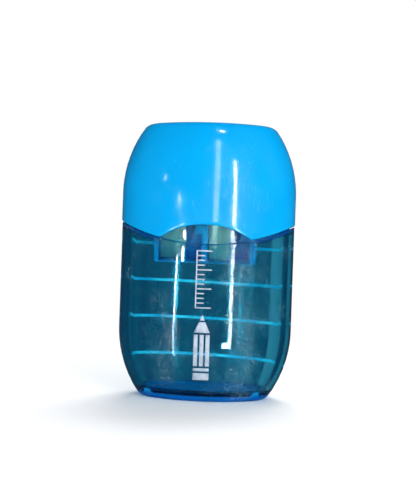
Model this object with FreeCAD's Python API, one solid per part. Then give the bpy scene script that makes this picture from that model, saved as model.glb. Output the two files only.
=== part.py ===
import FreeCAD
import Part
import math
import os

# Two-hole pencil sharpener: a head with the sharpening block, slid over the neck of a clear shavings container.
# Millimetres. Origin at the middle of the flat base, +Z up, +X to the right, the front looks along -Y.

height = 67.2
halfWidth = 21.6              # the head, halfway up
halfDepth = 12.2
endLength = 17.0              # each end narrows over this length
endHalfWidth = 15.9
endHalfDepth = 9.6
sideRoundness = 0.75          # radius of the oval's narrow sides, as a share of its half depth
edgeRound = 1.2

containerStep = 0.15          # the container is this much slimmer than the head, on each side
neckInset = 1.4
neckTop = 50.0
cavityInset = 2.4
floorThickness = 2.0
cavityRound = 1.6

coverWall = 1.2
coverRoof = 1.6
partingGap = 0.2
shoulderLow = 37.7            # the shoulder line dips to here at the middle
shoulderRadius = 47.0
notchHalfWidth = 10.9
notchTop = 42.5
ribThickness = 1.2
ribReach = 3.0                # how far the cover's ribs reach into the neck
ribSpread = 7.0               # the front and back ribs are this far either side of the middle
ribInnerDepth = 8.2           # how near to the middle the front and back ribs come
ribInnerWidth = 17.6          # and the side ribs
fitGap = 0.1

backRibCount = 4              # low ribs inside the container's back wall
backRibLowest = 9.45
backRibSpacing = 9.35
backRibWidth = 0.7
backRibHeight = 0.35
backRibFront = 0.0            # they run round the sides as far forward as this
backRibSlope = 1.4            # degrees, falling to the right

blockLeft = -12.5
blockRight = 11.9
blockBottom = 33.2
blockTop = 60.0
blockBack = 6.5
blockFrontLow = -4.0
blockFrontHigh = -7.6
blockCorner = 0.8
blockSideRound = 3.5
collarWall = 1.0
bossWall = 1.5
bossLow = 50.5
collarGap = 0.03

bladeLength = 24.0
bladeThickness = 0.5
bladeBevel = 1.2
troughLength = 19.0           # the chip channel stops short of the bore's wall
stepWidth = 1.55              # the wall between the stations is this much wider above the step
stepUp = 6.7                  # the step's height above the blade's low end
pocketGap = 0.12
screwHeadRadius = 1.3
screwHeadHeight = 0.8
screwRadius = 0.8
screwLength = 3.2
screwFit = 0.03               # clearance round the screw in the block
screwSlot = 0.4
screwSlotReach = 1.1          # from the screw's axis to each end of the cross
screwSlotDepth = 0.45

# x: of the hole's axis and the cutting edge. bore: radius of the guide. tip: radius of the cone at coneLow.
# bladeLow: height of the blade's low end. width: of the blade. trough: width of the chip channel by the edge.
# step: how much narrower the channel is above stepUp. screwX, screwUp: from the edge and the blade's low end.
smallHole = dict(x=-5.3, bore=4.1, tip=0.35, bladeLow=34.4, width=6.1, trough=4.15, troughDepth=1.6,
                 step=stepWidth, screwX=-3.5, screwUp=9.8)
largeHole = dict(x=6.0, bore=5.75, tip=1.0, bladeLow=34.25, width=5.55, trough=4.45, troughDepth=2.0,
                 step=0.0, screwX=-4.05, screwUp=10.0)
coneLow = 35.0
coneHigh = 54.8
mouthChamfer = 0.6

far = 30.0                    # cutting shapes reach this far, well outside the body


def vec(x, y, z):
    return FreeCAD.Vector(x, y, z)


def box(x0, x1, y0, y1, z0, z1):
    return Part.makeBox(x1 - x0, y1 - y0, z1 - z0, vec(x0, y0, z0))


def prism(points, along):
    corners = points + points[:1]
    return Part.Face(Part.makePolygon(corners)).extrude(along)


def joined(first, *others):
    return first.fuse(list(others)).removeSplitter()


def endDrop(z, drop):
    """How far the outline has come in at height z, on an arc that drops so much over the end's length."""
    t = max(0.0, endLength - z, z - (height - endLength))
    radius = (endLength ** 2 + drop ** 2) / (2 * drop)
    return radius - math.sqrt(radius ** 2 - t ** 2)


def oval(z, inset):
    """The body's outline at height z, brought in by inset, as four tangent arcs."""
    a = halfWidth - endDrop(z, halfWidth - endHalfWidth) - inset
    full = halfDepth - endDrop(z, halfDepth - endHalfDepth)
    b = full - inset
    r = sideRoundness * full - inset
    c = a - r
    big = (c ** 2 + b ** 2 - r ** 2) / (2 * (b - r))
    tx = c + r * c / (big - r)
    ty = r * (big - b) / (big - r)
    right = Part.Arc(vec(tx, -ty, z), vec(a, 0, z), vec(tx, ty, z))
    back = Part.Arc(vec(tx, ty, z), vec(0, b, z), vec(-tx, ty, z))
    left = Part.Arc(vec(-tx, ty, z), vec(-a, 0, z), vec(-tx, -ty, z))
    front = Part.Arc(vec(-tx, -ty, z), vec(0, -b, z), vec(tx, -ty, z))
    return Part.Wire([arc.toShape() for arc in (right, back, left, front)])


def curvedEnd(low, high, inset):
    """A stretch of one of the body's ends, lofted through evenly spaced outlines."""
    count = max(3, round((high - low) / 2.5) + 1)
    step = (high - low) / (count - 1)
    return Part.makeLoft([oval(low + step * i, inset) for i in range(count)], True, False)


def ovalSolid(low, high, inset):
    """The body's shape between two heights, brought in by inset: curved ends and a straight middle."""
    straightLow = max(low, endLength)
    straightHigh = min(high, height - endLength)
    straight = Part.Face(oval(straightLow, inset)).extrude(vec(0, 0, straightHigh - straightLow))
    solid = straight
    if low < endLength:
        solid = solid.fuse(curvedEnd(low, endLength, inset))
    if high > height - endLength:
        solid = solid.fuse(curvedEnd(height - endLength, high, inset))
    return solid


def endRounded(solid, z, radius):
    edges = [e for e in solid.Edges if abs(e.BoundBox.ZMin - z) < 1e-4 and abs(e.BoundBox.ZMax - z) < 1e-4]
    return solid.makeFillet(radius, edges)


def shoulderRise(x):
    return shoulderRadius - math.sqrt(shoulderRadius ** 2 - x ** 2)


def aboveShoulder(gap):
    """Everything above the dipped shoulder line, raised by gap."""
    low = shoulderLow + gap
    end = low + shoulderRise(far)
    top = height + far
    arc = Part.Arc(vec(-far, -far, end), vec(0, -far, low), vec(far, -far, end)).toShape()
    above = Part.makePolygon([vec(far, -far, end), vec(far, -far, top),
                              vec(-far, -far, top), vec(-far, -far, end)])
    return Part.Face(Part.Wire([arc] + above.Edges)).extrude(vec(0, 2 * far, 0))


def notch():
    """The thumb notch's arch, right through the head from front to back."""
    half = notchHalfWidth
    end = shoulderLow + shoulderRise(half)
    low = shoulderLow - 5
    arc = Part.Arc(vec(-half, -far, end), vec(0, -far, notchTop), vec(half, -far, end)).toShape()
    below = Part.makePolygon([vec(half, -far, end), vec(half, -far, low),
                              vec(-half, -far, low), vec(-half, -far, end)])
    return Part.Face(Part.Wire([arc] + below.Edges)).extrude(vec(0, 2 * far, 0))


def backRibs():
    """Low ribs on the inside of the container's back and sides."""
    low = floorThickness
    top = cavityInset + backRibHeight
    skin = ovalSolid(low, neckTop, cavityInset - 0.5).cut(ovalSolid(low, neckTop, top))
    ribs = []
    for index in range(backRibCount):
        slab = box(-far, far, backRibFront, far, -backRibWidth / 2, backRibWidth / 2)
        slab.rotate(vec(0, 0, 0), vec(0, 1, 0), backRibSlope)
        slab.translate(vec(0, 0, backRibLowest + index * backRibSpacing))
        ribs.append(skin.common(slab))
    return ribs


def container():
    top = shoulderLow + shoulderRise(halfWidth) + 1
    outside = endRounded(ovalSolid(0.0, top, containerStep), 0.0, edgeRound)
    body = outside.cut(aboveShoulder(0.0))
    neck = ovalSolid(shoulderLow / 2, neckTop, neckInset)
    cavity = endRounded(ovalSolid(floorThickness, neckTop + 1.0, cavityInset), floorThickness, cavityRound)
    solid = body.fuse(neck).cut(cavity)
    return solid.fuse(backRibs())


def holeHull(extra, low, high):
    """The outline round both holes, extra wider than each."""
    x1, r1 = smallHole["x"], smallHole["bore"] + extra
    x2, r2 = largeHole["x"], largeHole["bore"] + extra
    sine = (r2 - r1) / (x2 - x1)
    cosine = math.sqrt(1 - sine ** 2)
    a = vec(x1 - r1 * sine, r1 * cosine, low)
    b = vec(x1 - r1 * sine, -r1 * cosine, low)
    c = vec(x2 - r2 * sine, -r2 * cosine, low)
    d = vec(x2 - r2 * sine, r2 * cosine, low)
    small = Part.Arc(a, vec(x1 - r1, 0, low), b).toShape()
    large = Part.Arc(c, vec(x2 + r2, 0, low), d).toShape()
    wire = Part.Wire([small, Part.makeLine(b, c), large, Part.makeLine(d, a)])
    return Part.Face(wire).extrude(vec(0, 0, high - low))


def coverRibs():
    """Ribs inside the head. They stand on the neck's rim, and their tongues reach inside it."""
    half = ribThickness / 2
    top = height - coverRoof / 2
    above = [box(ribInnerWidth, far, -half, half, neckTop, top),
             box(-far, -ribInnerWidth, -half, half, neckTop, top)]
    for x in (-ribSpread, ribSpread):
        above.append(box(x - half, x + half, -far, -ribInnerDepth, neckTop, top))
        above.append(box(x - half, x + half, ribInnerDepth, far, neckTop, top))
    bodyInside = ovalSolid(neckTop - ribReach, height, coverWall / 2)
    neckInside = ovalSolid(neckTop - ribReach, neckTop + 1.0, cavityInset + fitGap)
    ribs = []
    for rib in above:
        tongue = rib.copy()
        tongue.translate(vec(0, 0, -ribReach))
        tongue = tongue.common(box(-far, far, -far, far, neckTop - ribReach, neckTop + 0.5))
        ribs.append(rib.common(bodyInside))
        ribs.append(tongue.common(neckInside))
    return ribs


def headCover():
    outside = endRounded(ovalSolid(shoulderLow - 2, height, 0.0), height, edgeRound)
    shell = outside.common(aboveShoulder(partingGap))
    shell = shell.cut(ovalSolid(shoulderLow - 5, height - coverRoof, coverWall))
    shell = shell.cut(notch())
    shell = shell.fuse(coverRibs())
    return shell.cut(holeHull(collarWall + collarGap, height - 2 * coverRoof, height + 1))


def blockBody():
    """The block that holds the cones and the blades' seats: a wedge, deeper at the top, with eased edges."""
    side = [vec(blockLeft, blockFrontLow, blockBottom), vec(blockLeft, blockFrontHigh, blockTop),
            vec(blockLeft, blockBack, blockTop), vec(blockLeft, blockBack, blockBottom)]
    wedge = prism(side, vec(blockRight - blockLeft, 0, 0))
    seenFromFront = box(blockLeft, blockRight, -far, far, blockBottom, blockTop + far)
    lowEdges = [e for e in seenFromFront.Edges
                if abs(e.BoundBox.ZMax - blockBottom) < 1e-6 and e.BoundBox.YLength > far]
    seenFromAbove = box(blockLeft, blockRight, blockFrontHigh, blockBack, blockBottom - 1, blockTop + 1)
    uprights = [e for e in seenFromAbove.Edges if e.BoundBox.ZLength > blockTop - blockBottom]
    eased = wedge.common(seenFromFront.makeFillet(blockCorner, lowEdges))
    return eased.common(seenFromAbove.makeFillet(blockSideRound, uprights))


def boreAndCone(hole):
    x, r = hole["x"], hole["bore"]
    up = vec(0, 0, 1)
    bore = Part.makeCylinder(r, height + 1 - coneHigh, vec(x, 0, coneHigh), up)
    slope = (r - hole["tip"]) / (coneHigh - coneLow)
    low = blockBottom - 1
    lowRadius = max(0.25, hole["tip"] - slope * (coneLow - low))
    cone = Part.makeCone(lowRadius, r, coneHigh - low, vec(x, 0, low), up)
    mouth = Part.makeCone(r, r + mouthChamfer, mouthChamfer, vec(x, 0, height - mouthChamfer), up)
    return [bore, cone, mouth]


def coneAngle(hole):
    return math.atan((hole["bore"] - hole["tip"]) / (coneHigh - coneLow))


def onSeat(shape, hole):
    """Tilts a shape made on the plane y=0, with the cutting edge up its z axis, on to the blade's seat."""
    angle = coneAngle(hole)
    radius = hole["tip"] + (hole["bladeLow"] - coneLow) * math.tan(angle)
    turned = shape.copy()
    turned.rotate(vec(0, 0, 0), vec(1, 0, 0), math.degrees(angle))
    turned.translate(vec(hole["x"], -radius, hole["bladeLow"]))
    return turned


def seatCuts(hole):
    """The blade's pocket, the deeper chip channel beside its cutting edge, and the screw's hole."""
    gap = pocketGap
    pocket = box(-hole["width"] - gap, 0.3, -far, 0, -gap, bladeLength + gap)
    trough = box(0, hole["trough"] - hole["step"], -far, hole["troughDepth"], -gap, troughLength)
    lowTrough = box(0, hole["trough"], -far, hole["troughDepth"], -gap, stepUp)
    drill = Part.makeCylinder(screwRadius + screwFit, screwLength + 0.6,
                              vec(hole["screwX"], -0.3, hole["screwUp"]), vec(0, 1, 0))
    return [onSeat(s, hole) for s in (pocket, trough, lowTrough, drill)]


def sharpenerBlock():
    roof = height - coverRoof
    solid = joined(blockBody(), holeHull(bossWall, bossLow, roof), holeHull(collarWall, roof - 1, height))
    for hole in (smallHole, largeHole):
        solid = solid.cut(boreAndCone(hole) + seatCuts(hole))
    return solid


def blade(hole):
    w = hole["width"]
    t = bladeThickness
    section = [vec(-w, -t, 0), vec(-w, 0, 0), vec(0, 0, 0), vec(-bladeBevel, -t, 0)]
    plate = prism(section, vec(0, 0, bladeLength))
    screwHole = Part.makeCylinder(screwRadius + 0.1, far,
                                  vec(hole["screwX"], -far / 2, hole["screwUp"]), vec(0, 1, 0))
    return onSeat(plate.cut(screwHole), hole)


def screw(hole):
    x = hole["screwX"]
    z = hole["screwUp"]
    top = -bladeThickness - screwHeadHeight
    shankTop = -bladeThickness - 0.1
    head = Part.makeCylinder(screwHeadRadius, screwHeadHeight, vec(x, top, z), vec(0, 1, 0))
    shank = Part.makeCylinder(screwRadius, screwLength - shankTop - 0.1, vec(x, shankTop, z), vec(0, 1, 0))
    half = screwSlot / 2
    reach = screwSlotReach
    low = top + screwSlotDepth
    across = box(x - reach, x + reach, top - 1, low, z - half, z + half)
    upright = box(x - half, x + half, top - 1, low, z - reach, z + reach)
    return onSeat(head.fuse(shank).cut([across, upright]), hole)


nodes = {
    "container": container(),
    "head_cover": headCover(),
    "sharpener_block": sharpenerBlock(),
    "blade_small": blade(smallHole),
    "blade_large": blade(largeHole),
    "screw_small": screw(smallHole),
    "screw_large": screw(largeHole),
}

os.makedirs("parts", exist_ok=True)
for name, shape in nodes.items():
    shape.exportStep(os.path.join("parts", name + ".step"))
    size = shape.BoundBox
    print(name, "solids", len(shape.Solids), "valid", shape.isValid(), "mm3", round(shape.Volume, 1),
          [round(v, 2) for v in (size.XMin, size.XMax, size.YMin, size.YMax, size.ZMin, size.ZMax)])
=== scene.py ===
import bpy
import bmesh
import math
from mathutils import Matrix, Vector


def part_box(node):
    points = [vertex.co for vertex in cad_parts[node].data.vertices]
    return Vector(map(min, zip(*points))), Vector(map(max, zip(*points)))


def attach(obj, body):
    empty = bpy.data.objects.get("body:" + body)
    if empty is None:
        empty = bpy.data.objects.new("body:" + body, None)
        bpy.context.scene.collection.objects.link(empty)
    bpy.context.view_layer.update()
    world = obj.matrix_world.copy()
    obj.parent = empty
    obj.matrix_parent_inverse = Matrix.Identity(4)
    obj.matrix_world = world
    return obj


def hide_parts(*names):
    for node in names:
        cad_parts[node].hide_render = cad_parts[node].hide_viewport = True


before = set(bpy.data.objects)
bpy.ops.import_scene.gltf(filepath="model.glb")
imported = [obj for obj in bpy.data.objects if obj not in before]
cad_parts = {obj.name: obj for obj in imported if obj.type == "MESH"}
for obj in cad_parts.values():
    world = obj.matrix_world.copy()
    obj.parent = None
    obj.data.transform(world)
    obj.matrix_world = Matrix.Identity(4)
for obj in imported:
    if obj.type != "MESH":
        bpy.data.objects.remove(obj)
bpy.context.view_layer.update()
mm = 0.001


class Signal:
    def __init__(self, recipe, socket):
        self.recipe = recipe
        self.socket = socket

    def maths(self, operation, first, second):
        return self.recipe.node("ShaderNodeMath", {"operation": operation}, {0: first, 1: second})

    def __add__(self, other):
        return self.maths("ADD", self, other)

    def __radd__(self, other):
        return self.maths("ADD", other, self)

    def __sub__(self, other):
        return self.maths("SUBTRACT", self, other)

    def __rsub__(self, other):
        return self.maths("SUBTRACT", other, self)

    def __mul__(self, other):
        return self.maths("MULTIPLY", self, other)

    def __pow__(self, other):
        return self.maths("POWER", self, other)


# Wear of the plastics. The patch is where fingers and pockets have dulled the right of the front, in metres.
handling = dict(patchX=0.0088, patchHalf=0.0042, patchGain=0.12, wearDetail=4.0,
                scratchTurns=((0.1, 0.35, 0.2), (0.2, 1.25, 0.1), (-0.1, 2.3, 0.3), (0.3, -0.3, -0.2)),
                scratchScale=(4800, 4800, 210), scratchBand=(0.68, 0.74), scratchWorn=(0.46, 0.66),
                pitScale=3400.0, pitBand=(0.57, 0.68), pitWorn=(0.42, 0.66), smudgeShape=(1, 1, 0.6))


class Recipe:
    def __init__(self, owner):
        owner.use_nodes = True
        self.owner = owner
        self.tree = owner.node_tree
        self.tree.nodes.clear()

    def node(self, kind, settings=None, inputs=None, output=0):
        made = self.tree.nodes.new(kind)
        for key, value in (settings or {}).items():
            setattr(made, key, value)
        for key, value in (inputs or {}).items():
            if isinstance(value, Signal):
                self.tree.links.new(value.socket, made.inputs[key])
            else:
                made.inputs[key].default_value = value
        return Signal(self, made.outputs[output])

    def surface(self, inputs):
        return self.node("ShaderNodeBsdfPrincipled", None, inputs)

    def axes(self, where):
        return [self.node("ShaderNodeSeparateXYZ", None, {"Vector": where}, axis) for axis in "XYZ"]

    def mapped(self, where, scale, turn=(0, 0, 0)):
        return self.node("ShaderNodeMapping", None, {"Vector": where, "Scale": scale, "Rotation": turn})

    def place(self, scale=(1, 1, 1), turn=(0, 0, 0)):
        return self.mapped(self.node("ShaderNodeTexCoord", output="Object"), scale, turn)

    def noise(self, where, scale, detail=2.0):
        return self.node("ShaderNodeTexNoise", None, {"Vector": where, "Scale": scale, "Detail": detail})

    def band(self, value, low, high):
        return self.node("ShaderNodeMapRange", {"interpolation_type": "SMOOTHSTEP"},
                         {"Value": value, "From Min": low, "From Max": high})

    def blend(self, factor, first, second):
        return self.node("ShaderNodeMix", {"data_type": "RGBA"}, {0: factor, 6: first, 7: second}, 2)

    def mixShader(self, factor, first, second):
        return self.node("ShaderNodeMixShader", None, {0: factor, 1: first, 2: second})

    def bump(self, height, distance, strength):
        return self.node("ShaderNodeBump", None,
                         {"Height": height, "Distance": distance, "Strength": strength})

    def scratches(self, wear):
        marks = 0.0
        for turn in handling["scratchTurns"]:
            lines = self.noise(self.place(handling["scratchScale"], turn), 1.0, 1.0)
            marks = marks + self.band(lines, *handling["scratchBand"])
        return marks * self.band(wear, *handling["scratchWorn"])

    def wornness(self, scale):
        away = self.axes(self.node("ShaderNodeTexCoord", output="Object"))[0] - handling["patchX"]
        patch = 1 - self.band(away * away, 0.0, handling["patchHalf"] ** 2)
        return self.noise(self.place(), scale, handling["wearDetail"]) + patch * handling["patchGain"]

    def pits(self, wear):
        fine = self.noise(self.place(), handling["pitScale"], 1.0)
        return self.band(fine, *handling["pitBand"]) * self.band(wear, *handling["pitWorn"])

    def smudges(self, scale, low, high):
        return self.band(self.noise(self.place(handling["smudgeShape"]), scale, 5.0), low, high)

    def finish(self, surface, volume=None, kind="ShaderNodeOutputMaterial"):
        out = self.tree.nodes.new(kind)
        self.tree.links.new(surface.socket, out.inputs["Surface"])
        if volume:
            self.tree.links.new(volume.socket, out.inputs["Volume"])
        return self.owner


def newRecipe(name):
    return Recipe(bpy.data.materials.new(name))


headPlastic = dict(colour=(0.0, 0.30, 0.66, 1), shade=(0.0, 0.272, 0.61, 1), worn=(0.03, 0.5, 0.8, 1),
                   cloudScale=70.0, cloudBand=(0.35, 0.7), grainScale=2600.0, wearScale=130.0,
                   smudgeScale=130.0, smudgeBand=(0.52, 0.72), speckScale=2100.0, speckBand=(0.76, 0.8),
                   marksPale=0.07, smudgePale=0.03, specksPale=0.12,
                   rough=0.09, marksRough=0.25, smudgeRough=0.1,
                   grainHeight=0.25, marksHeight=0.8, pitsHeight=1.6, specksHeight=0.6,
                   bumpDistance=0.00002, bumpStrength=0.5, ior=1.5, coat=0.3, coatRough=0.05)


def makeHeadPlastic():
    r = newRecipe("glossBlue")
    s = headPlastic
    cloudy = r.noise(r.place(), s["cloudScale"], 3.0)
    grain = r.noise(r.place(), s["grainScale"])
    wear = r.wornness(s["wearScale"])
    marks = r.scratches(wear)
    smudge = r.smudges(s["smudgeScale"], *s["smudgeBand"])
    specks = r.band(r.noise(r.place(), s["speckScale"]), *s["speckBand"])
    pits = r.pits(wear)
    colour = r.blend(r.band(cloudy, *s["cloudBand"]), s["colour"], s["shade"])
    pale = marks * s["marksPale"] + smudge * s["smudgePale"] + specks * s["specksPale"]
    height = grain * s["grainHeight"] - marks * s["marksHeight"] - pits * s["pitsHeight"]
    height = height + specks * s["specksHeight"]
    return r.finish(r.surface({
        "Base Color": r.blend(pale, colour, s["worn"]),
        "Roughness": s["rough"] + marks * s["marksRough"] + smudge * s["smudgeRough"],
        "Normal": r.bump(height, s["bumpDistance"], s["bumpStrength"]),
        "IOR": s["ior"], "Coat Weight": s["coat"], "Coat Roughness": s["coatRough"]}))


# recessShade is a painted shade colour that the block's recesses and troughs take, found by ambient
# occlusion.
blockPlastic = dict(colour=(0.0, 0.52, 0.92, 1), shade=(0.0, 0.44, 0.84, 1), recessShade=(0.0, 0.13, 0.52, 1),
                    dusty=(0.35, 0.6, 0.75, 1), reach=0.006, recessShadeBand=(0.3, 0.9), samples=8,
                    cloudScale=180.0, cloudBand=(0.35, 0.7), grainScale=4200.0, dustScale=900.0,
                    dustBand=(0.6, 0.78), dustPale=0.2, rough=0.32, grainRough=0.15, dustRough=0.2,
                    bumpDistance=0.00002, bumpStrength=0.4, ior=1.5)


def makeBlockPlastic():
    r = newRecipe("satinBlue")
    s = blockPlastic
    cloudy = r.noise(r.place(), s["cloudScale"], 3.0)
    grain = r.noise(r.place(), s["grainScale"], 3.0)
    dust = r.band(r.noise(r.place(), s["dustScale"], 5.0), *s["dustBand"])
    colour = r.blend(r.band(cloudy, *s["cloudBand"]), s["colour"], s["shade"])
    colour = r.blend(dust * s["dustPale"], colour, s["dusty"])
    # Painted shade: where ambient occlusion finds a recess, the base colour turns to the dark recess shade.
    aoForPaintedShade = r.node("ShaderNodeAmbientOcclusion", {"samples": s["samples"], "only_local": True},
                      {"Distance": s["reach"]}, "AO")
    return r.finish(r.surface({
        "Base Color": r.blend(r.band(aoForPaintedShade, *s["recessShadeBand"]), s["recessShade"], colour),
        "Roughness": s["rough"] + grain * s["grainRough"] + dust * s["dustRough"],
        "Normal": r.bump(grain, s["bumpDistance"], s["bumpStrength"]), "IOR": s["ior"]}))


# Lengths are in metres here. The base band and the floor's middle are an opaque deeper blue; the outline and
# a band under the shoulder ledge are painted shade in dark blue.
clearPlastic = dict(absorb=(0.016, 0.716, 0.80, 1), density=750.0, shadowTint=(0.78, 0.92, 0.95, 1),
                    edge=(0.0, 0.05, 0.22, 1), rim=(0.0, 0.13, 0.5, 1), floor=(0.0, 0.34, 0.78, 1),
                    dust=(0.4, 0.62, 0.72, 1), clean=(1, 1, 1, 1), scratched=(0.8, 0.9, 0.95, 1),
                    rimBand=(0.0012, 0.0018), floorBand=(0.0022, 0.0028),
                    floorHalfX=0.0142, floorHalfY=0.0073, floorFade=0.0004,
                    ledgeReach=0.00016, ledgeSideReach=0.001, ledgeSide=(0.0095, 0.013), ledgeFade=0.4,
                    ledgeTop=0.0001, edgeBand=(0.86, 0.99),
                    edgeDeep=0.42, rimDeep=0.7, floorDeep=0.62, ledgeDeep=0.7, deepRough=0.12, ior=1.49,
                    wearScale=150.0, speckScale=3600.0, speckWear=0.1, speckBand=(0.69, 0.75),
                    speckWorn=(0.5, 0.7), smudgeScale=150.0, smudgeBand=(0.55, 0.75),
                    specksDust=0.55, marksDust=0.08, smudgeDust=0.02, dustRough=0.7,
                    rippleShape=(1, 1, 0.3), rippleScale=130.0, rippleHeight=5.0, marksHeight=0.6,
                    pitsHeight=1.4, bumpDistance=0.00002, bumpStrength=0.5,
                    rough=0.015, marksPale=0.3, marksRough=0.2, smudgeRough=0.05)


def shadeAndDeepBluePlaces(r):
    s = clearPlastic
    x, y, z = r.axes(r.node("ShaderNodeTexCoord", output="Object"))
    radius = shoulder["radius"] * mm
    line = shoulder["low"] * mm + radius - (radius ** 2 - x * x) ** 0.5
    # Painted shade: a dark blue band just under the shoulder line, wider towards the sides.
    sideLow, sideHigh = s["ledgeSide"]
    reach = s["ledgeReach"] + r.band(x * x, sideLow ** 2, sideHigh ** 2) * s["ledgeSideReach"]
    ledge = (r.band(z, line - reach, line - reach * s["ledgeFade"])
             * (1 - r.band(z, line, line + s["ledgeTop"])))
    rim = 1 - r.band(z, *s["rimBand"])
    inside = 1 - r.band(y * y, (s["floorHalfY"] - s["floorFade"]) ** 2, s["floorHalfY"] ** 2)
    inside = inside * (1 - r.band(x * x, (s["floorHalfX"] - s["floorFade"]) ** 2, s["floorHalfX"] ** 2))
    floor = inside * (1 - r.band(z, *s["floorBand"])) * (1 - rim)
    # Painted shade: an opaque dark blue along the outline, where the surface turns edge-on to the view.
    facing = r.node("ShaderNodeLayerWeight", None, {"Blend": 0.5}, "Facing")
    return ledge, rim, floor, r.band(facing, *s["edgeBand"])


def makeClearPlastic():
    r = newRecipe("clearBlue")
    s = clearPlastic
    ledge, rim, floor, edge = shadeAndDeepBluePlaces(r)
    wear = r.wornness(s["wearScale"])
    marks = r.scratches(wear)
    pits = r.pits(wear)
    specks = r.band(r.noise(r.place(), s["speckScale"], 1.0) + wear * s["speckWear"], *s["speckBand"])
    specks = specks * r.band(wear, *s["speckWorn"])
    smudge = r.smudges(s["smudgeScale"], *s["smudgeBand"])
    ripple = r.noise(r.place(s["rippleShape"]), s["rippleScale"], 1.0)
    height = ripple * s["rippleHeight"] - marks * s["marksHeight"] - pits * s["pitsHeight"]
    glass = r.surface({"Base Color": r.blend(marks * s["marksPale"], s["clean"], s["scratched"]),
                      "Roughness": s["rough"] + marks * s["marksRough"] + smudge * s["smudgeRough"],
                      "Normal": r.bump(height, s["bumpDistance"], s["bumpStrength"]),
                      "IOR": s["ior"], "Transmission Weight": 1.0})
    # An opaque surface mixed into the glass: painted shade at the outline and under the ledge, and an opaque
    # deeper blue at the base band and the floor's middle.
    shadeAndDeepBlue = r.surface({"Base Color": r.blend(floor, r.blend(rim, s["edge"], s["rim"]), s["floor"]),
                     "Roughness": s["deepRough"], "IOR": s["ior"]})
    dust = r.surface({"Base Color": s["dust"], "Roughness": s["dustRough"]})
    shadeAndDeepBlueWeight = edge * s["edgeDeep"] + rim * s["rimDeep"] + floor * s["floorDeep"] + ledge * s["ledgeDeep"]
    dusted = specks * s["specksDust"] + marks * s["marksDust"] + smudge * s["smudgeDust"]
    worn = r.mixShader(dusted, r.mixShader(shadeAndDeepBlueWeight, glass, shadeAndDeepBlue), dust)
    lamp = r.node("ShaderNodeBsdfTransparent", None, {"Color": s["shadowTint"]})
    shadow = r.node("ShaderNodeLightPath", output="Is Shadow Ray")
    volume = r.node("ShaderNodeVolumeAbsorption", None, {"Color": s["absorb"], "Density": s["density"]})
    return r.finish(r.mixShader(shadow, worn, lamp), volume)


bladeSteel = dict(clean=(0.95, 0.80, 0.63, 1), stained=(0.72, 0.62, 0.5, 1), stainScale=300.0,
                  stainBand=(0.4, 0.75), grainShape=(60, 1, 1), grainScale=60.0, detail=4.0, metallic=0.55,
                  rough=0.34, grainRough=0.25, bumpDistance=0.00002, bumpStrength=0.5)


def makeBladeSteel():
    r = newRecipe("groundSteel")
    s = bladeSteel
    grain = r.noise(r.place(s["grainShape"]), s["grainScale"], s["detail"])
    stain = r.noise(r.place(), s["stainScale"], s["detail"])
    return r.finish(r.surface({
        "Base Color": r.blend(r.band(stain, *s["stainBand"]), s["clean"], s["stained"]),
        "Metallic": s["metallic"], "Roughness": s["rough"] + grain * s["grainRough"],
        "Normal": r.bump(grain, s["bumpDistance"], s["bumpStrength"])}))


ink = dict(thin=(0.30, 0.37, 0.46, 1), thick=(0.42, 0.48, 0.57, 1), wearScale=900.0, wearBand=(0.35, 0.65),
           rough=0.35, wearRough=0.2, bumpDistance=0.00001, bumpStrength=0.4)


def makeInk():
    r = newRecipe("whiteInk")
    s = ink
    wear = r.band(r.noise(r.place(), s["wearScale"], 5.0), *s["wearBand"])
    return r.finish(r.surface({
        "Base Color": r.blend(wear, s["thin"], s["thick"]), "Roughness": s["rough"] + wear * s["wearRough"],
        "Normal": r.bump(wear, s["bumpDistance"], s["bumpStrength"])}))


# Painted light: the ribs glow by emission and take a bright cyan base colour, as if catching light.
paintedRibGlow = dict(dull=(0.0, 0.55, 0.8, 1), bright=(0.3, 0.9, 1.0, 1), dullGlow=(0.0, 0.4, 0.62, 1),
                brightGlow=(0.1, 0.75, 0.9, 1), glow=0.7, rough=0.4, scale=120.0, band=(0.3, 0.7))


def makePaintedRibGlow():
    r = newRecipe("paintedRibGlow")
    s = paintedRibGlow
    uneven = r.band(r.noise(r.place(), s["scale"], 3.0), *s["band"])
    return r.finish(r.surface({
        "Base Color": r.blend(uneven, s["dull"], s["bright"]), "Roughness": s["rough"],
        "Emission Color": r.blend(uneven, s["dullGlow"], s["brightGlow"]), "Emission Strength": s["glow"]}))


# The body's outline: four tangent arcs at any height, brought in by an inset. All in millimetres.
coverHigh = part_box("head_cover")[1]
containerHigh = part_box("container")[1]
body = dict(height=coverHigh[2] / mm, halfWidth=coverHigh[0] / mm, halfDepth=coverHigh[1] / mm,
            endLength=17.0, endHalfWidth=15.9, endHalfDepth=9.6, sideRoundness=0.75,
            sideSteps=30, outerSteps=20, notchSteps=36, hair=0.001)
shoulder = dict(low=37.7, radius=47.0, notchHalf=10.9, notchTop=42.5, gap=0.2, about=40.0)


def endDrop(z, drop):
    t = max(0.0, body["endLength"] - z, z - (body["height"] - body["endLength"]))
    radius = (body["endLength"] ** 2 + drop ** 2) / (2 * drop)
    return radius - math.sqrt(radius ** 2 - t ** 2)


def ovalAt(z, inset):
    a = body["halfWidth"] - endDrop(z, body["halfWidth"] - body["endHalfWidth"]) - inset
    full = body["halfDepth"] - endDrop(z, body["halfDepth"] - body["endHalfDepth"])
    b = full - inset
    r = body["sideRoundness"] * full - inset
    c = a - r
    big = (c ** 2 + b ** 2 - r ** 2) / (2 * (b - r))
    return dict(b=b, r=r, c=c, big=big, turn=math.asin(c / (big - r)))


def spread(low, high, count):
    return [low + (high - low) * i / count for i in range(count)]


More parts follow.
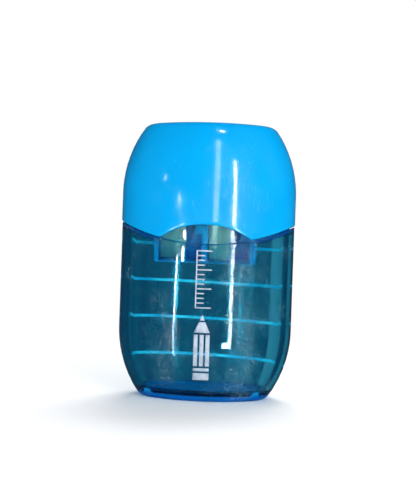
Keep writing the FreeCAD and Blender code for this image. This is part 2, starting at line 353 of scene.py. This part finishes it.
def makeColumns():
    middle = ovalAt(body["height"] / 2, 0.0)
    cusp = math.asin(shoulder["notchHalf"] / middle["big"]) / middle["turn"]
    face = (spread(-1, -cusp, body["outerSteps"]) + spread(-cusp, cusp, body["notchSteps"])
            + spread(cusp, 1, body["outerSteps"]))
    side = spread(-1, 1, body["sideSteps"])
    return ([("side", 1, f) for f in side] + [("face", 1, f) for f in face]
            + [("side", -1, f) for f in side] + [("face", -1, f) for f in face])


columns = makeColumns()


def onOval(column, z, inset):
    kind, way, f = column
    o = ovalAt(z, inset)
    if kind == "side":
        angle = f * (math.pi / 2 - o["turn"])
        return way * (o["c"] + o["r"] * math.cos(angle)), way * o["r"] * math.sin(angle)
    angle = f * o["turn"]
    return -way * o["big"] * math.sin(angle), way * (o["big"] * math.cos(angle) - (o["big"] - o["b"]))


def frontY(x, z, inset):
    o = ovalAt(z, inset)
    return -(math.sqrt(o["big"] ** 2 - x ** 2) - (o["big"] - o["b"]))


def shoulderZ(x):
    return shoulder["low"] + shoulder["radius"] - math.sqrt(shoulder["radius"] ** 2 - x ** 2)


def coverEdgeZ(x):
    half = shoulder["notchHalf"]
    if abs(x) >= half - body["hair"]:
        return shoulderZ(x) + shoulder["gap"]
    cusp = shoulderZ(half) + shoulder["gap"]
    rise = shoulder["notchTop"] - cusp
    radius = (half ** 2 + rise ** 2) / (2 * rise)
    return cusp + rise - radius + math.sqrt(radius ** 2 - x ** 2)


def putRing(ring, height, inset, extra=0.0):
    for vert, column in zip(ring, columns):
        z = height
        if callable(height):
            x = onOval(column, shoulder["about"], inset)[0]
            z = height(x) + extra
        x, y = onOval(column, z, inset)
        vert.co = Vector((x, y, z))


def firstRing(bm, height, inset, extra=0.0):
    ring = bmesh.ops.create_circle(bm, segments=len(columns), radius=1.0)["verts"]
    putRing(ring, height, inset, extra)
    return ring


def loopEdges(bm, ring):
    return [bm.edges.get((a, b)) for a, b in zip(ring, ring[1:] + ring[:1])]


def nextRing(bm, ring, height=None, inset=0.0, extra=0.0):
    made = bmesh.ops.extrude_edge_only(bm, edges=loopEdges(bm, ring))["geom"]
    fresh = {v for v in made if isinstance(v, bmesh.types.BMVert)}
    grown = [next(e.other_vert(v) for e in v.link_edges if e.other_vert(v) in fresh) for v in ring]
    if height is not None:
        putRing(grown, height, inset, extra)
    return grown


def bevelRing(bm, edges, width, steps):
    bmesh.ops.bevel(bm, geom=edges, offset=width, offset_type="OFFSET", segments=steps, affect="EDGES",
                    profile=0.5, material=-1, clamp_overlap=False)


def soften(bm, rings):
    chosen = [(loopEdges(bm, ring), width, steps) for ring, width, steps in rings]
    for edges, width, steps in chosen:
        bevelRing(bm, edges, width, steps)


def finishPiece(bm, name, material, bodyName, slotName, *replaced):
    bmesh.ops.recalc_face_normals(bm, faces=bm.faces)
    bmesh.ops.scale(bm, vec=(mm, mm, mm), verts=bm.verts)
    mesh = bpy.data.meshes.new(name)
    bm.to_mesh(mesh)
    bm.free()
    mesh.materials.append(material)
    for face in mesh.polygons:
        face.use_smooth = True
    piece = bpy.data.objects.new(name, mesh)
    bpy.context.scene.collection.objects.link(piece)
    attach(piece, bodyName)
    if replaced:
        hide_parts(*replaced)
    return piece


containerShape = dict(skin=0.15, neck=1.4, cavity=2.4, neckTop=containerHigh[2] / mm, floor=2.0,
                      baseRound=1.2, floorRound=1.6, rimRound=0.3, shoulderRound=0.25, shoulderMargin=0.9,
                      outerLevels=(2.6, 5, 7.5, 10, 12, 14, 15.5, 17, 20, 24, 28, 32, 35.5),
                      neckLevels=(45.5, 47.5, 48.8),
                      innerLevels=(48.8, 46, 42, 38, 34, 30, 26, 22, 18.5, 17, 15.5, 14, 12, 10, 8, 6))


def makeContainer(material):
    s = containerShape
    bm = bmesh.new()
    base = firstRing(bm, 0.0, s["skin"])
    bmesh.ops.contextual_create(bm, geom=loopEdges(bm, base))
    ring = base
    for z in s["outerLevels"]:
        ring = nextRing(bm, ring, z, s["skin"])
    ring = nextRing(bm, ring, shoulderZ, s["skin"], -s["shoulderMargin"])
    lip = nextRing(bm, ring, shoulderZ, s["skin"])
    ledge = nextRing(bm, lip, shoulderZ, s["neck"])
    ring = nextRing(bm, ledge, shoulderZ, s["neck"], s["shoulderMargin"])
    for z in s["neckLevels"]:
        ring = nextRing(bm, ring, z, s["neck"])
    rimOut = nextRing(bm, ring, s["neckTop"], s["neck"])
    rimIn = nextRing(bm, rimOut, s["neckTop"], s["cavity"])
    ring = rimIn
    for z in s["innerLevels"]:
        ring = nextRing(bm, ring, z, s["cavity"])
    floorRing = nextRing(bm, ring, s["floor"], s["cavity"])
    bmesh.ops.contextual_create(bm, geom=loopEdges(bm, floorRing))
    soften(bm, [(base, s["baseRound"], 5), (floorRing, s["floorRound"], 5), (lip, s["shoulderRound"], 3),
                (ledge, s["shoulderRound"], 3), (rimOut, s["rimRound"], 3), (rimIn, s["rimRound"], 3)])
    return finishPiece(bm, "clearContainer", material, "container_body", "clear_blue", "container")


# Low ribs on the inside of the container's back wall. Their material glows and is bright cyan: painted light
# on the ribs.
backRibShape = dict(count=4, lowest=9.45, spacing=9.35, width=0.7, slope=1.4, height=0.35, front=0.0,
                    curl=0.6, curlFrom=18.6, curlTo=19.2,
                    section=((-0.5, -0.1), (-0.35, 1.0), (0.35, 1.0), (0.5, -0.1)))   # up and out, as shares


def makeBackRibs(material):
    s = backRibShape
    bm = bmesh.new()
    wall = containerShape["cavity"]
    for index in range(s["count"]):
        middle = s["lowest"] + index * s["spacing"]
        run = [c for c in columns if onOval(c, middle, wall)[1] > s["front"] - body["hair"]]
        ends = []
        for column in run:
            x = onOval(column, middle, wall)[0]
            bend = max(0.0, abs(x) - s["curlFrom"]) / (s["curlTo"] - s["curlFrom"])
            z = middle - x * math.tan(math.radians(s["slope"])) + s["curl"] * bend ** 2
            made = bmesh.ops.create_circle(bm, segments=len(s["section"]), radius=1.0)["verts"]
            for vert, (up, out) in zip(made, s["section"]):
                level = z + up * s["width"]
                px, py = onOval(column, level, wall + out * s["height"])
                vert.co = Vector((px, py, level))
            ends.append(loopEdges(bm, made))
        for low, high in zip(ends, ends[1:]):
            bmesh.ops.bridge_loops(bm, edges=low + high)
        for end in (ends[0], ends[-1]):
            bmesh.ops.contextual_create(bm, geom=end)
    return finishPiece(bm, "backRibs", material, "container_body", "clear_blue")


coverShape = dict(wall=1.2, roof=1.6, edgeRound=1.2, topFlat=1.45, lipRound=0.3, holeRound=0.15, collar=1.03,
                  holes=((-5.3, 4.1), (6.0, 5.75)), lipMargin=0.8,
                  levels=(45.5, 48, 50.2, 51.7, 53.2, 55.2, 57.2, 59.2, 61.2, 63.0), highLevel=64.6,
                  ribThick=1.2, ribFoot=50.0, ribFootIn=0.2, tongue=3.0, ribSpread=7.0, ribInnerY=8.2,
                  ribInnerX=17.6, tongueInset=2.5, ribRound=0.15, ribLevels=(53, 56, 58.5, 60.5, 62, 63.2),
                  ribHigh=65.4, rimAngle=1.0)
hull = dict(steps=80, spread=1.25, aside=0.05)     # how the corners are shared out round both holes


def hullEdge(angle, extra, z):
    (x1, r1), (x2, r2) = coverShape["holes"]
    cx = (x1 + x2) / 2
    dx, dy = math.cos(angle), math.sin(angle)
    far = 0.0
    for i in range(hull["steps"] + 1):
        t = i / hull["steps"]
        x = x1 + (x2 - x1) * t - cx
        r = r1 + (r2 - r1) * t + extra
        along = x * dx
        away = x * x - along * along
        if away < r * r:
            far = max(far, along + math.sqrt(r * r - away))
    return Vector((cx + dx * far, dy * far, z))


def putHull(ring, z, extra):
    for vert, column in zip(ring, columns):
        x, y = onOval(column, body["height"], 0.0)
        vert.co = hullEdge(math.atan2(y * hull["spread"], x - hull["aside"]), extra, z)


def addRib(bm, inner, levels, reachAt, across, turn):
    s = coverShape
    grid = bmesh.ops.create_grid(bm, x_segments=1, y_segments=len(levels) - 1, size=0.5)["verts"]
    for vert in grid:
        z = levels[round((vert.co.y + 0.5) * (len(levels) - 1))]
        out = reachAt(z) if vert.co.x > 0 else inner
        vert.co = turn @ Vector((across - s["ribThick"] / 2, out, z))
    sheet = list({face for vert in grid for face in vert.link_faces})
    grown = bmesh.ops.extrude_face_region(bm, geom=sheet)["geom"]
    far = [v for v in grown if isinstance(v, bmesh.types.BMVert)]
    bmesh.ops.translate(bm, verts=far, vec=turn @ Vector((s["ribThick"], 0, 0)))
    rims = {e for v in grid + far for e in v.link_edges
            if len(e.link_faces) == 2 and e.calc_face_angle() > s["rimAngle"]}
    bevelRing(bm, list(rims), s["ribRound"], 2)


def addRibs(bm):
    s = coverShape
    foot = s["ribFoot"]
    upper = [foot, *s["ribLevels"]]
    lower = [foot - s["tongue"], foot + s["ribFootIn"]]
    tall = upper + [s["ribHigh"]]
    inWall = s["wall"] / 2
    inNeck = s["tongueInset"]
    farRight = ("side", 1, 0.0)
    toBack = Matrix.Identity(3)
    toFront = Matrix.Rotation(math.pi, 3, "Z")
    for turn in (toBack, toFront):
        for x in (-s["ribSpread"], s["ribSpread"]):
            addRib(bm, s["ribInnerY"], tall, lambda z: -frontY(x, z, inWall), x, turn)
            addRib(bm, s["ribInnerY"], lower, lambda z: -frontY(x, z, inNeck), x, turn)
    for way in (-1, 1):
        turn = Matrix.Rotation(way * math.pi / 2, 3, "Z")
        addRib(bm, s["ribInnerX"], upper, lambda z: onOval(farRight, z, inWall)[0], 0.0, turn)
        addRib(bm, s["ribInnerX"], lower, lambda z: onOval(farRight, z, inNeck)[0], 0.0, turn)


def makeCover(material):
    s = coverShape
    top = body["height"]
    bm = bmesh.new()
    lipOut = firstRing(bm, coverEdgeZ, 0.0)
    ring = nextRing(bm, lipOut, coverEdgeZ, 0.0, s["lipMargin"])
    for z in (*s["levels"], s["highLevel"]):
        ring = nextRing(bm, ring, z, 0.0)
    crown = nextRing(bm, ring, top, 0.0)
    ring = nextRing(bm, crown, top, s["topFlat"])
    holeTop = nextRing(bm, ring)
    putHull(holeTop, top, s["collar"])
    holeLow = nextRing(bm, holeTop)
    putHull(holeLow, top - s["roof"], s["collar"])
    ring = nextRing(bm, holeLow, top - s["roof"], s["wall"])
    for z in reversed(s["levels"]):
        ring = nextRing(bm, ring, z, s["wall"])
    ring = nextRing(bm, ring, coverEdgeZ, s["wall"], s["lipMargin"])
    lipIn = nextRing(bm, ring, coverEdgeZ, s["wall"])
    bmesh.ops.bridge_loops(bm, edges=loopEdges(bm, lipIn) + loopEdges(bm, lipOut))
    soften(bm, [(crown, s["edgeRound"], 6), (lipOut, s["lipRound"], 3), (lipIn, s["lipRound"], 2),
                (holeTop, s["holeRound"], 2)])
    addRibs(bm)
    return finishPiece(bm, "headCover", material, "head", "head_blue", "head_cover")


# Block, blades and screws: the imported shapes, merged, with softened edges.
softening = dict(merge=0.002, flat=0.6, sharp=28, steps=2)     # millimetres, and angles in degrees
softened = {
    "sharpener_block": dict(name="sharpenerBlock", slot="block_blue", width=0.12),
    "blade_small": dict(name="bladeSmall", slot="blade_steel", width=0.04),
    "blade_large": dict(name="bladeLarge", slot="blade_steel", width=0.04),
    "screw_small": dict(name="screwSmall", slot="screw_steel", width=0.06),
    "screw_large": dict(name="screwLarge", slot="screw_steel", width=0.06),
}


def softenNode(nodeName, material):
    s = softened[nodeName]
    bm = bmesh.new()
    bm.from_mesh(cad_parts[nodeName].data)
    bmesh.ops.scale(bm, vec=(1 / mm, 1 / mm, 1 / mm), verts=bm.verts)
    bmesh.ops.remove_doubles(bm, verts=bm.verts, dist=softening["merge"])
    bmesh.ops.dissolve_limit(bm, angle_limit=math.radians(softening["flat"]), verts=bm.verts, edges=bm.edges)
    piece = finishPiece(bm, s["name"], material, "head", s["slot"], nodeName)
    bevel = piece.modifiers.new("softEdges", "BEVEL")
    bevel.width = s["width"] * mm
    bevel.segments = softening["steps"]
    bevel.limit_method = "ANGLE"
    bevel.angle_limit = math.radians(softening["sharp"])
    bevel.harden_normals = True
    return piece


# The printed mark in white ink: a plain pencil, and a row of ruler ticks above it.
markShape = dict(low=5.5, pencilHigh=21.0, ticksLow=22.6, ticksHigh=36.4, half=1.9, line=0.32, gap=0.45,
                 lift=0.03, thickness=0.02, ticks=12, longEvery=4, shortReach=0.2, eraser=1.7, band=2.9,
                 stripes=3, cone=4.6, coneHalf=0.75, coneEnd=1.6, pointHalf=0.6, pointStart=1.25,
                 tipHalf=0.08)


def patch(bm, low, high, across=4, up=6):
    s = markShape
    (x0, x1, zLow), (x2, x3, zHigh) = low, high
    for vert in bmesh.ops.create_grid(bm, x_segments=across, y_segments=up, size=0.5)["verts"]:
        u = vert.co.x + 0.5
        w = vert.co.y + 0.5
        z = zLow + (zHigh - zLow) * w
        left = x0 + (x2 - x0) * w
        right = x1 + (x3 - x1) * w
        x = left + (right - left) * u
        vert.co = Vector((x, frontY(x, z, containerShape["skin"] - s["lift"]), z))


def makeMark(material):
    s = markShape
    bm = bmesh.new()
    h = s["half"]
    gap = s["gap"]
    low = s["low"]
    high = s["pencilHigh"]
    coneLow = high - s["cone"]
    bandHigh = low + s["band"]
    patch(bm, (-h, h, low), (-h, h, low + s["eraser"]))
    patch(bm, (-h, h, low + s["eraser"] + gap), (-h, h, bandHigh))
    stripe = (2 * h - (s["stripes"] - 1) * gap) / s["stripes"]
    for i in range(s["stripes"]):
        left = -h + i * (stripe + gap)
        patch(bm, (left, left + stripe, bandHigh + gap), (left, left + stripe, coneLow), up=16)
    patch(bm, (-h, h, coneLow + gap), (-s["coneHalf"], s["coneHalf"], high - s["coneEnd"]))
    patch(bm, (-s["pointHalf"], s["pointHalf"], high - s["pointStart"]), (-s["tipHalf"], s["tipHalf"], high))
    spine = -h + s["line"]
    patch(bm, (-h, spine, s["ticksLow"]), (-h, spine, s["ticksHigh"]), up=20)
    for i in range(s["ticks"] + 1):
        z = s["ticksLow"] + (s["ticksHigh"] - s["ticksLow"] - s["line"]) * i / s["ticks"]
        reach = h if i % s["longEvery"] == 0 else s["shortReach"]
        patch(bm, (spine, reach, z), (spine, reach, z + s["line"]), up=1)
    piece = finishPiece(bm, "printedMark", material, "container_body", "clear_blue")
    solid = piece.modifiers.new("ink", "SOLIDIFY")
    solid.thickness = s["thickness"] * mm
    return piece


studio = dict(distance=220.0, lens=63.5, sensor=36.0, clip=0.01, azimuth=3.0, eye=36.6, aimX=0.15, roll=2.0,
              lampDistance=140.0, lampAim=(0, 0, 36), nudge=0.01)


floorLook = dict(dull=(0.93, 0.935, 0.94, 1), pale=(0.96, 0.962, 0.965, 1), white=(1, 1, 1, 1), rough=0.6,
                 mottleScale=3.0, farBand=(0.03, 0.16), size=3.0, squares=8)


def makeFloor():
    r = newRecipe("paleFloor")
    s = floorLook
    mottled = r.noise(r.place(), s["mottleScale"], 4.0)
    away = r.node("ShaderNodeVectorMath", {"operation": "LENGTH"}, {0: r.place()}, "Value")
    pale = r.surface({"Base Color": r.blend(mottled, s["dull"], s["pale"]), "Roughness": s["rough"]})
    bright = r.node("ShaderNodeEmission", None, {"Color": s["white"], "Strength": 1.0})
    material = r.finish(r.mixShader(r.band(away, *s["farBand"]), pale, bright))
    bm = bmesh.new()
    bmesh.ops.create_grid(bm, x_segments=s["squares"], y_segments=s["squares"], size=s["size"])
    mesh = bpy.data.meshes.new("floor")
    bm.to_mesh(mesh)
    bm.free()
    mesh.materials.append(material)
    floor = bpy.data.objects.new("floor", mesh)
    floor.visible_transmission = False
    floor.visible_glossy = False
    bpy.context.scene.collection.objects.link(floor)


# Strip lamps are set by where their reflection falls on the front: x across, and from low to high.
strips = {
    "stripRight": dict(x=6.4, low=13.0, high=57.8, width=7.0, power=0.08),
    "stripLeft": dict(x=-6.6, low=11.0, high=35.5, width=3.0, power=0.024),
    "stripLeftHead": dict(x=-6.4, low=47.0, high=50.0, width=6.0, power=0.0015),
    "speckLeftHead": dict(x=-10.0, low=53.0, high=54.2, width=3.0, power=0.0012),
    "stripLeftTop": dict(x=-5.3, low=33.5, high=41.0, width=6.0, power=0.010),
    "stripFoot": dict(x=5.6, low=13.2, high=14.6, width=14.0, power=0.012),
    "stripMiddle": dict(x=2.3, low=38.5, high=62.5, width=11.0, power=0.018),
    "spotTop": dict(x=3.0, low=65.2, high=65.9, width=9.0, power=0.01),
}
softboxes = {
    "keyRight": dict(azimuth=45, height=240, distance=420, size=(360, 360), power=0.75),
    "front": dict(azimuth=8, height=40, distance=420, size=(200, 200), power=0.55),
    "fillLeft": dict(azimuth=-70, height=160, distance=420, size=(300, 300), power=0.1),
    "topBack": dict(azimuth=170, height=420, distance=260, size=(300, 300), power=2.0),
}


def cameraSpot():
    a = math.radians(studio["azimuth"])
    aim = Vector((studio["aimX"], 0, studio["eye"]))
    return aim + Vector((math.sin(a), -math.cos(a), 0)) * studio["distance"]


def mirrored(x, z):
    step = studio["nudge"]
    point = Vector((x, frontY(x, z, 0), z))
    across = Vector((step, frontY(x + step, z, 0) - point.y, 0))
    upward = Vector((0, frontY(x, z + step, 0) - point.y, step))
    normal = across.cross(upward).normalized()
    sight = (point - cameraSpot()).normalized()
    return point + (sight - 2 * sight.dot(normal) * normal) * studio["lampDistance"]


def addLamp(name, width, height, power, place, long, facing):
    light = bpy.data.lights.new(name, "AREA")
    light.shape = "RECTANGLE"
    light.size = width * mm
    light.size_y = height * mm
    light.energy = power
    lamp = bpy.data.objects.new(name, light)
    side = facing.cross(long).normalized()
    back = -facing.normalized()
    up = back.cross(side)
    turn = Matrix((side, up, back)).transposed().to_4x4()
    lamp.matrix_world = Matrix.Translation(place * mm) @ turn
    lamp.visible_camera = False
    bpy.context.scene.collection.objects.link(lamp)
    return lamp


def makeLamps():
    for name, s in strips.items():
        low = mirrored(s["x"], s["low"])
        high = mirrored(s["x"], s["high"])
        middle = (low + high) / 2
        aim = Vector((s["x"], -body["halfDepth"], (s["low"] + s["high"]) / 2)) - middle
        addLamp(name, s["width"], (high - low).length, s["power"], middle, high - low, aim)
    for name, s in softboxes.items():
        a = math.radians(s["azimuth"])
        place = Vector((math.sin(a) * s["distance"], -math.cos(a) * s["distance"], s["height"]))
        lamp = addLamp(name, s["size"][0], s["size"][1], s["power"], place, Vector((0, 0, 1)),
                       Vector(studio["lampAim"]) - place)
        lamp.visible_glossy = False
        lamp.visible_transmission = False


# What each kind of ray meets. Behind the plastic, x is how far a sight line leans to the right.
surroundings = dict(ambient=(0.42, 0.43, 0.45, 1), mirrored=(0.03, 0.045, 0.06, 1), white=(1, 1, 1, 1),
                    behindDark=(0.06, 0.105, 0.185, 1), behindLight=(0.09, 0.25, 0.34, 1),
                    pane=(0.95, 0.75, 0.82, 1), foldShape=(7, 0.5, 0.3), foldScale=2.0, foldBand=(0.35, 0.68),
                    foldLight=0.8, threadShape=(210, 2, 2), threadScale=1.0, threadBand=(0.4, 0.7),
                    threadEnd=(-0.07, -0.05), threadLight=0.7, rightFrom=(0.06, 0.1), rightTo=(0.5, 0.6),
                    rightLight=0.75, middleFrom=(-0.006, 0.0), middleTo=(0.014, 0.022), middleLight=0.7)


def makeWorld():
    s = surroundings
    r = Recipe(bpy.data.worlds.new("studioWorld"))
    ray = {kind: r.node("ShaderNodeLightPath", output="Is " + kind + " Ray")
           for kind in ("Camera", "Glossy", "Transmission")}
    where = r.node("ShaderNodeTexCoord", output="Generated")
    x = r.axes(where)[0]
    folds = r.band(r.noise(r.mapped(where, s["foldShape"]), s["foldScale"], 3.0), *s["foldBand"])
    threads = r.band(r.noise(r.mapped(where, s["threadShape"]), s["threadScale"], 3.0), *s["threadBand"])
    threads = threads * (1 - r.band(x, *s["threadEnd"]))
    light = folds * s["foldLight"] + threads * s["threadLight"]
    rightPane = r.band(x, *s["rightFrom"]) * (1 - r.band(x, *s["rightTo"]))
    middlePane = r.band(x, *s["middleFrom"]) * (1 - r.band(x, *s["middleTo"]))
    panes = rightPane * s["rightLight"] + middlePane * s["middleLight"]
    behind = r.blend(panes, r.blend(light, s["behindDark"], s["behindLight"]), s["pane"])
    colour = r.blend(ray["Glossy"], s["ambient"], s["mirrored"])
    colour = r.blend(ray["Transmission"], colour, behind)
    colour = r.blend(ray["Camera"], colour, s["white"])
    shine = r.node("ShaderNodeBackground", None, {"Color": colour, "Strength": 1.0})
    bpy.context.scene.world = r.finish(shine, kind="ShaderNodeOutputWorld")


def makeCamera():
    s = studio
    data = bpy.data.cameras.new("camera")
    data.lens = s["lens"]
    data.sensor_width = s["sensor"]
    data.clip_start = s["clip"]
    camera = bpy.data.objects.new("camera", data)
    camera.location = cameraSpot() * mm
    aim = Vector((s["aimX"], 0, s["eye"])) * mm
    look = (aim - camera.location).to_track_quat("-Z", "Y").to_matrix().to_4x4()
    turn = Matrix.Rotation(math.radians(s["roll"]), 4, "Z")
    camera.rotation_euler = (look @ turn).to_euler()
    bpy.context.scene.collection.objects.link(camera)
    bpy.context.scene.camera = camera


headBlue = makeHeadPlastic()
blockBlue = makeBlockPlastic()
clearBlue = makeClearPlastic()
steel = makeBladeSteel()
makeContainer(clearBlue)
print("container made")
makeBackRibs(makePaintedRibGlow())
makeCover(headBlue)
print("cover made")
for nodeName in softened:
    softenNode(nodeName, blockBlue if nodeName == "sharpener_block" else steel)
print("block, blades and screws made")
makeMark(makeInk())
makeFloor()
makeLamps()
makeWorld()
makeCamera()
bpy.context.scene.view_settings.view_transform = "Standard"
print("stage set")
